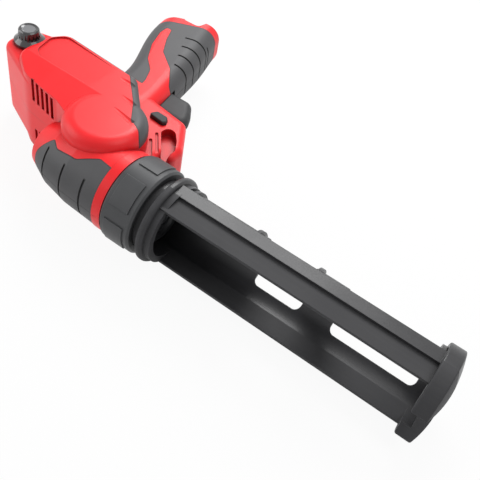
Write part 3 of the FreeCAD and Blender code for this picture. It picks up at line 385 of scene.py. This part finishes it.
rubberLook = {
    "base": linear(78, 78, 80), "deep": linear(66, 66, 68), "rubbed": linear(116, 116, 118),
    "shadeAndJointTone": linear(16, 16, 17), "rough": (0.46, 0.58), "grain": 1300.0, "patch": 30.0, "pips": 1100.0,
    "edge": 0.0008, "wear": 0.45, "reach": 0.004, "paintedShadeShare": 0.75, "line": 0.0008, "lineShare": 0.95,
    "bump": 0.12, "bumpDepth": 0.0003, "gloss": 0.42,
}
softRubber = mouldedPlastic("softRubber", rubberLook)

collarLook = {
    "base": linear(66, 67, 69), "deep": linear(56, 57, 59), "rubbed": linear(118, 119, 122),
    "shadeAndJointTone": linear(12, 12, 13), "rough": (0.42, 0.54), "grain": 1500.0, "patch": 34.0,
    "edge": 0.0007, "wear": 0.5, "reach": 0.007, "paintedShadeShare": 0.85, "bump": 0.12,
    "bumpDepth": 0.0003, "gloss": 0.45,
}
collarNylon = mouldedPlastic("collarNylon", collarLook)

carriageLook = {
    "base": linear(47, 47, 49), "deep": linear(37, 37, 39), "pale": linear(60, 60, 63),
    "rubbed": linear(118, 119, 122), "shadeAndJointTone": linear(8, 8, 9), "rough": (0.32, 0.42),
    "mattBelow": -0.0002, "mattRise": 0.3,
    "grain": 1400.0, "patch": 18.0, "streak": 70.0, "edge": 0.0007, "wear": 0.6, "reach": 0.03,
    "paintedShadeShare": 0.8, "bump": 0.10, "bumpDepth": 0.0003, "gloss": 0.42,
}
carriageNylon = mouldedPlastic("carriageNylon", carriageLook)

insideLook = {
    "base": linear(48, 49, 51), "deep": linear(38, 39, 41), "rubbed": linear(92, 93, 96),
    "shadeAndJointTone": linear(14, 14, 15), "rough": (0.45, 0.6), "grain": 1400.0, "patch": 30.0,
    "edge": 0.0005, "wear": 0.4, "reach": 0.003, "paintedShadeShare": 0.5, "bump": 0.1,
    "bumpDepth": 0.0003, "gloss": 0.4,
}
insideNylon = mouldedPlastic("insideNylon", insideLook)

triggerLook = {
    "base": linear(44, 44, 46), "deep": linear(36, 36, 38), "rubbed": linear(80, 80, 83),
    "shadeAndJointTone": linear(14, 14, 15), "rough": (0.52, 0.64), "grain": 1600.0, "patch": 40.0,
    "edge": 0.0006, "wear": 0.5, "reach": 0.003, "paintedShadeShare": 0.5, "bump": 0.09,
    "bumpDepth": 0.0003, "gloss": 0.48,
}
triggerPlastic = mouldedPlastic("triggerPlastic", triggerLook)

plungerLook = {
    "base": linear(40, 41, 43), "deep": linear(32, 33, 35), "rubbed": linear(96, 97, 100),
    "shadeAndJointTone": linear(12, 12, 13), "rough": (0.38, 0.52), "grain": 1500.0, "patch": 36.0,
    "edge": 0.0006, "wear": 0.6, "reach": 0.003, "paintedShadeShare": 0.5, "bump": 0.1,
    "bumpDepth": 0.0003, "gloss": 0.45,
}
plungerPlastic = mouldedPlastic("plungerPlastic", plungerLook)

steelLook = {
    "base": linear(176, 178, 182), "deep": linear(142, 144, 149), "rubbed": linear(206, 208, 212),
    "shadeAndJointTone": linear(40, 36, 32), "rough": (0.26, 0.42), "lines": 900.0, "scratch": 260.0,
    "edge": 0.0003, "wear": 0.6, "reach": 0.002, "paintedShadeShare": 0.6, "bump": 0.12, "metal": 1.0,
}
brightSteel = workedMetal("brightSteel", steelLook)

bronzeLook = {
    "base": linear(184, 142, 88), "deep": linear(150, 110, 62), "rubbed": linear(214, 178, 124),
    "shadeAndJointTone": linear(48, 34, 20), "rough": (0.34, 0.5), "lines": 1200.0, "scratch": 420.0,
    "edge": 0.0003, "wear": 0.5, "reach": 0.002, "paintedShadeShare": 0.6, "bump": 0.2, "metal": 1.0,
}
sinteredBronze = workedMetal("sinteredBronze", bronzeLook)

castLook = {
    "base": linear(148, 150, 153), "deep": linear(120, 122, 126), "rubbed": linear(190, 192, 195),
    "shadeAndJointTone": linear(44, 44, 46), "rough": (0.42, 0.6), "lines": 500.0, "scratch": 340.0,
    "edge": 0.0005, "wear": 0.5, "reach": 0.003, "paintedShadeShare": 0.5, "bump": 0.3, "metal": 0.9,
}
castAlloy = workedMetal("castAlloy", castLook)

canLook = {
    "base": linear(164, 166, 170), "deep": linear(128, 130, 135), "rubbed": linear(200, 202, 206),
    "shadeAndJointTone": linear(38, 38, 40), "rough": (0.22, 0.36), "lines": 700.0, "scratch": 180.0,
    "edge": 0.0004, "wear": 0.5, "reach": 0.003, "paintedShadeShare": 0.5, "bump": 0.08, "metal": 1.0,
}
motorCan = workedMetal("motorCan", canLook)

boardLook = {
    "mask": linear(18, 74, 46), "copper": linear(40, 112, 70), "silver": linear(170, 172, 168),
    "tracks": 320.0, "trackWidth": 0.05, "edge": 0.0003, "wear": 0.4, "patch": 60.0, "patchDetail": 3.0,
    "tint": 0.3, "patchRange": (0.2, 0.8), "rough": (0.24, 0.4), "bump": 0.15, "bumpDepth": 0.0001,
}


def circuitBoard(name, look):
    material, tree, shader = startMaterial(name)
    place = placeOf(tree)
    tracks = tree.nodes.new("ShaderNodeTexBrick")
    tracks.inputs["Scale"].default_value = look["tracks"]
    tracks.inputs["Mortar Size"].default_value = look["trackWidth"]
    tracks.inputs["Color1"].default_value = look["mask"]
    tracks.inputs["Color2"].default_value = look["mask"]
    tracks.inputs["Mortar"].default_value = look["copper"]
    tree.links.new(place, tracks.inputs["Vector"])
    wear = useGroup(tree, edgeWear, Radius=look["edge"], Amount=look["wear"])
    tone = noiseOf(tree, place, look["patch"], look["patchDetail"])
    share = mathOf(tree, "MULTIPLY", tone, look["tint"])
    colour = mixColours(tree, share, tracks.outputs["Color"], look["copper"])
    colour = mixColours(tree, wear.outputs["Wear"], colour, look["silver"])
    tree.links.new(colour, shader.inputs["Base Color"])
    rough = spread(tree, tone, *look["patchRange"], *look["rough"])
    tree.links.new(rough, shader.inputs["Roughness"])
    height = tracks.outputs["Fac"]
    normal = bumpOf(tree, height, look["bump"], look["bumpDepth"], wear.outputs["Normal"])
    tree.links.new(normal, shader.inputs["Normal"])
    return material


greenBoard = circuitBoard("greenBoard", boardLook)

dialLook = {
    "centre": (-0.152, 0.051), "dish": 0.0052, "dishEdge": 0.0004, "paleAbove": (0.043, 0.0434),
    "base": linear(34, 34, 36), "deep": linear(26, 26, 28), "top": linear(112, 113, 116),
    "rubbed": linear(96, 96, 99), "rough": (0.14, 0.24), "grain": 1500.0, "patch": 60.0,
    "edge": 0.0005, "wear": 0.45, "bump": 0.05, "bumpDepth": 0.0003, "coat": 0.6, "coatRough": 0.06,
}


def glossDial(name, look):
    material, tree, shader = startMaterial(name)
    grain = useGroup(tree, mouldGrain, Grain=look["grain"], Patch=look["patch"])
    wear = useGroup(tree, edgeWear, Radius=look["edge"], Amount=look["wear"])
    x, y = look["centre"]
    split = tree.nodes.new("ShaderNodeSeparateXYZ")
    tree.links.new(placeOf(tree, (1, 1, 1), (-x, -y, 0)), split.inputs[0])
    across = mathOf(tree, "POWER", split.outputs["X"], 2.0)
    along = mathOf(tree, "POWER", split.outputs["Y"], 2.0)
    out = mathOf(tree, "SQRT", mathOf(tree, "ADD", across, along))
    inside = spread(tree, out, look["dish"], look["dish"] + look["dishEdge"], 1.0, 0.0)
    high = spread(tree, split.outputs["Z"], *look["paleAbove"], 0.0, 1.0)
    colour = mixColours(tree, grain.outputs["Tone"], look["deep"], look["base"])
    colour = mixColours(tree, mathOf(tree, "MULTIPLY", inside, high), colour, look["top"])
    colour = mixColours(tree, wear.outputs["Wear"], colour, look["rubbed"])
    tree.links.new(colour, shader.inputs["Base Color"])
    rough = spread(tree, grain.outputs["Tone"], 0.0, 1.0, *look["rough"])
    tree.links.new(rough, shader.inputs["Roughness"])
    height = grain.outputs["Height"]
    normal = bumpOf(tree, height, look["bump"], look["bumpDepth"], wear.outputs["Normal"])
    tree.links.new(normal, shader.inputs["Normal"])
    shader.inputs["Coat Weight"].default_value = look["coat"]
    shader.inputs["Coat Roughness"].default_value = look["coatRough"]
    return material


dialGloss = glossDial("dialGloss", dialLook)
print("finishes made")

# the finish that each of the record's slots takes
slotFinish = {
    "case": redCase, "grip": softRubber, "collar": collarNylon, "carriage": carriageNylon,
    "dark_plastic": insideNylon, "plunger": plungerPlastic, "steel": brightSteel,
    "bronze": sinteredBronze, "die_cast": castAlloy, "motor_can": motorCan, "board": greenBoard,
    "dial": dialGloss, "trigger": triggerPlastic,
}
for node in nodes.values():
    for i, material in enumerate(node.data.materials):
        node.data.materials[i] = slotFinish[material.name.split(".")[0]]
print("nodes finished:", len(nodes))

# push chain: the run behind the plunger is built packed into its rest length, the stored links stay in
# the case
chain = {
    "pitch": 0.0078036, "startX": -0.0425, "links": 8, "travel": 0.1885,
    "plateR": 0.0034, "plate": 0.0012, "innerHalf": 0.0029, "play": 0.0001,
    "rollerR": 0.0024, "pinR": 0.0016, "pinProud": 0.0004, "waist": 0.75,
    "sides": 16, "pinSides": 12, "wheelTeeth": 16, "store": 4, "back": 6, "drop": 2,
    "halvings": 40, "hair": 1e-6,
}


def addLink(mesh, start, heading, length, outer):
    low = chain["innerHalf"] + (chain["plate"] + chain["play"] if outer else 0)
    made = []
    for side in (-1, 1):
        plate = bmesh.ops.create_circle(
            mesh, cap_ends=True, segments=chain["sides"], radius=chain["plateR"])
        far = [v for v in plate["verts"] if v.co.x > chain["hair"]]
        waist = [v for v in plate["verts"] if abs(v.co.x) <= chain["hair"]]
        bmesh.ops.translate(mesh, verts=far, vec=(length, 0, 0))
        bmesh.ops.translate(mesh, verts=waist, vec=(length / 2, 0, 0))
        bmesh.ops.scale(mesh, verts=waist, vec=(1, chain["waist"], 1))
        face = plate["verts"][0].link_faces[0]
        thick = bmesh.ops.extrude_face_region(mesh, geom=[face])
        lifted = [g for g in thick["geom"] if isinstance(g, bmesh.types.BMVert)]
        bmesh.ops.translate(mesh, verts=lifted, vec=(0, 0, chain["plate"]))
        verts = plate["verts"] + lifted
        rise = low if side > 0 else -low - chain["plate"]
        bmesh.ops.translate(mesh, verts=verts, vec=(0, 0, rise))
        made += verts
    reach = low + chain["plate"] + (chain["pinProud"] if outer else 0)
    radius = chain["pinR"] if outer else chain["rollerR"]
    for x in (0, length):
        pin = bmesh.ops.create_cone(
            mesh, cap_ends=True, segments=chain["pinSides"],
            radius1=radius, radius2=radius, depth=2 * reach)
        bmesh.ops.translate(mesh, verts=pin["verts"], vec=(x, 0, 0))
        made += pin["verts"]
    bmesh.ops.rotate(mesh, verts=made, cent=(0, 0, 0), matrix=Matrix.Rotation(heading, 3, "Z"))
    bmesh.ops.translate(mesh, verts=made, vec=start)


def finishPiece(name, mesh, material):
    bmesh.ops.recalc_face_normals(mesh, faces=mesh.faces)
    data = bpy.data.meshes.new(name)
    mesh.to_mesh(data)
    mesh.free()
    data.materials.append(material)
    piece = bpy.data.objects.new(name, data)
    bpy.context.scene.collection.objects.link(piece)
    return piece


def packedAway(farX):  # where a point of the paid-out run sits at rest, found by halving
    rest = chain["links"] * chain["pitch"]
    low, high = chain["startX"], chain["startX"] + rest
    for _ in range(chain["halvings"]):
        middle = (low + high) / 2
        t = (middle - chain["startX"]) / rest
        out = middle + chain["travel"] * t * t * (3 - 2 * t)  # the blend's own smooth step
        low, high = (middle, high) if out < farX else (low, middle)
    return low


def buildChainRun():
    mesh = bmesh.new()
    rest = chain["links"] * chain["pitch"]
    count = round((rest + chain["travel"]) / chain["pitch"])
    step = (rest + chain["travel"]) / count
    for i in range(count):
        start = Vector((chain["startX"] + i * step, 0, 0))
        addLink(mesh, start, 0.0, step, i % 2 == 1)
    end = chain["startX"] + rest
    for v in mesh.verts:
        if v.co.x > chain["startX"] and v.co.x < end + chain["travel"]:
            v.co.x = packedAway(v.co.x)
        elif v.co.x >= end + chain["travel"]:
            v.co.x -= chain["travel"]
    piece = finishPiece("pushChainRun", mesh, brightSteel)
    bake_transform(piece)
    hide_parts("push_chain")


def buildChainStore():
    mesh = bmesh.new()
    turn = 2 * pi / chain["wheelTeeth"]
    headings = [pi - turn / 2 - i * turn for i in range(chain["wheelTeeth"] // 2)]  # round the wheel
    headings += [0.0] * chain["store"] + [pi / 6, pi / 2, pi * 5 / 6]  # along and back round
    headings += [pi] * chain["back"] + [pi * 7 / 8, pi * 5 / 8]  # to the rear, then down
    headings += [pi / 2] * chain["drop"]
    here = Vector((chain["startX"], 0, 0))
    for i, heading in enumerate(headings):
        addLink(mesh, here, heading, chain["pitch"], i % 2 == 0)
        here = here + Matrix.Rotation(heading, 3, "Z") @ Vector((chain["pitch"], 0, 0))
    piece = finishPiece("pushChainStore", mesh, brightSteel)
    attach(piece, "housing")
    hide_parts("push_chain")


buildChainRun()
buildChainStore()
print("push chain built")

# return spring of the trigger: a coil built in the place of the frame's spring
spring = {"wire": 0.00045, "turns": 8, "sides": 8, "stepsPerTurn": 28, "travel": 0.007}


def buildTriggerSpring():
    low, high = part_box("trigger_spring")
    middle = (Vector(low) + Vector(high)) / 2
    length = high[0] - low[0]
    radius = (high[1] - low[1]) / 2 - spring["wire"]
    steps = spring["turns"] * spring["stepsPerTurn"]
    rise = (length - 2 * spring["wire"]) / steps
    mesh = bmesh.new()
    ring = bmesh.ops.create_circle(
        mesh, cap_ends=False, segments=spring["sides"], radius=spring["wire"])
    start = Vector((low[0] + spring["wire"], middle.y + radius, middle.z))
    bmesh.ops.translate(mesh, verts=ring["verts"], vec=start)
    bmesh.ops.spin(
        mesh, geom=mesh.verts[:] + mesh.edges[:], cent=(low[0], middle.y, middle.z), axis=(1, 0, 0),
        dvec=(rise, 0, 0), angle=2 * pi * spring["turns"], steps=steps, use_merge=False)
    ends = [e for e in mesh.edges if e.is_boundary]
    bmesh.ops.holes_fill(mesh, edges=ends, sides=0)
    for face in mesh.faces:
        face.smooth = len(face.verts) == 4
    piece = finishPiece("triggerSpringCoil", mesh, brightSteel)
    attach(piece, "housing")
    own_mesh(piece)
    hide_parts("trigger_spring")


buildTriggerSpring()
print("trigger spring built")

# floor, light and camera
studio = {
    "floorHalf": 4.0, "floorDrop": 0.0005, "floorTone": linear(246, 246, 246),
    "floorShade": linear(232, 232, 232), "floorPatch": 3.0, "floorTint": 0.03,
    "floorRough": 0.8, "floorGloss": 0.1, "floorWhite": 0.93,
    "worldTone": (1.0, 1.0, 1.0, 1.0), "worldStrength": 0.3,
    "keyPlace": (-0.22, 0.7, 0.8), "keySize": 0.6, "keyPower": 8.8,
    "rimPlace": (0.5, 0.1, 0.85), "rimSize": 0.6, "rimPower": 2.4,
    "fillPlace": (-0.95, -0.5, 0.5), "fillSize": 0.8, "fillPower": 5.0,
    "aim": (0.05, 0.06, 0.0),
}


def seenRays(tree):  # 1 for rays that show the pale room, 0 for those that light the tool
    rays = tree.nodes.new("ShaderNodeLightPath")
    shown = mathOf(tree, "ADD", rays.outputs["Is Camera Ray"], rays.outputs["Is Glossy Ray"], True)
    return mathOf(tree, "ADD", shown, rays.outputs["Is Transmission Ray"], True)


def buildFloor():
    mesh = bmesh.new()
    bmesh.ops.create_grid(mesh, x_segments=1, y_segments=1, size=studio["floorHalf"])
    bmesh.ops.translate(mesh, verts=mesh.verts, vec=(0, 0, cadBox[0].z - studio["floorDrop"]))
    data = bpy.data.meshes.new("studioFloor")
    mesh.to_mesh(data)
    mesh.free()
    material, tree, shader = startMaterial("paleFloor")
    shader.inputs["Roughness"].default_value = studio["floorRough"]
    shader.inputs["Specular IOR Level"].default_value = studio["floorGloss"]
    tone = noiseOf(tree, placeOf(tree), studio["floorPatch"])
    share = mathOf(tree, "MULTIPLY", tone, studio["floorTint"])
    shade = mixColours(tree, share, studio["floorTone"], studio["floorShade"])
    tree.links.new(shade, shader.inputs["Base Color"])
    glow = tree.nodes.new("ShaderNodeEmission")
    seen = seenRays(tree)
    mix = tree.nodes.new("ShaderNodeMixShader")
    tree.links.new(mathOf(tree, "MULTIPLY", seen, studio["floorWhite"]), mix.inputs[0])
    tree.links.new(shader.outputs[0], mix.inputs[1])
    tree.links.new(glow.outputs[0], mix.inputs[2])
    tree.links.new(mix.outputs[0], tree.nodes["Material Output"].inputs["Surface"])
    data.materials.append(material)
    floor = bpy.data.objects.new("studioFloor", data)
    bpy.context.scene.collection.objects.link(floor)


def addSoftbox(name, place, size, power):
    data = bpy.data.lights.new(name, "AREA")
    data.shape = "SQUARE"
    data.size = size
    data.energy = power
    lamp = bpy.data.objects.new(name, data)
    lamp.location = place
    aim = Vector(studio["aim"]) - Vector(place)
    lamp.rotation_euler = aim.to_track_quat("-Z", "Y").to_euler()
    bpy.context.scene.collection.objects.link(lamp)


def buildWorld():
    world = bpy.data.worlds.new("paleRoom")
    bpy.context.scene.world = world
    world.use_nodes = True
    tree = world.node_tree
    sky = tree.nodes["Background"]
    sky.inputs["Color"].default_value = studio["worldTone"]
    strength = spread(tree, seenRays(tree), 0.0, 1.0, studio["worldStrength"], 1.0)
    tree.links.new(strength, sky.inputs["Strength"])


photoCamera = {
    "lens": 51.29, "sensor": 36.0, "place": (0.22312, -0.28271, 0.37735),
    "right": (0.8110, 0.5622, 0.1618), "up": (-0.5194, 0.5648, 0.6413),
    "back": (0.2691, -0.6041, 0.7501), "clipStart": 0.01,
}


def buildCamera():
    data = bpy.data.cameras.new("photoCamera")
    data.lens = photoCamera["lens"]
    data.sensor_width = photoCamera["sensor"]
    data.clip_start = photoCamera["clipStart"]
    camera = bpy.data.objects.new("photoCamera", data)
    turn = Matrix((photoCamera["right"], photoCamera["up"], photoCamera["back"])).transposed()
    camera.matrix_world = Matrix.Translation(photoCamera["place"]) @ turn.to_4x4()
    bpy.context.scene.collection.objects.link(camera)
    bpy.context.scene.camera = camera


buildFloor()
for lamp in ("key", "rim", "fill"):
    addSoftbox(lamp + "Softbox", studio[lamp + "Place"], studio[lamp + "Size"], studio[lamp + "Power"])
buildWorld()
buildCamera()
bpy.context.scene.view_settings.view_transform = "Standard"
print("studio set")
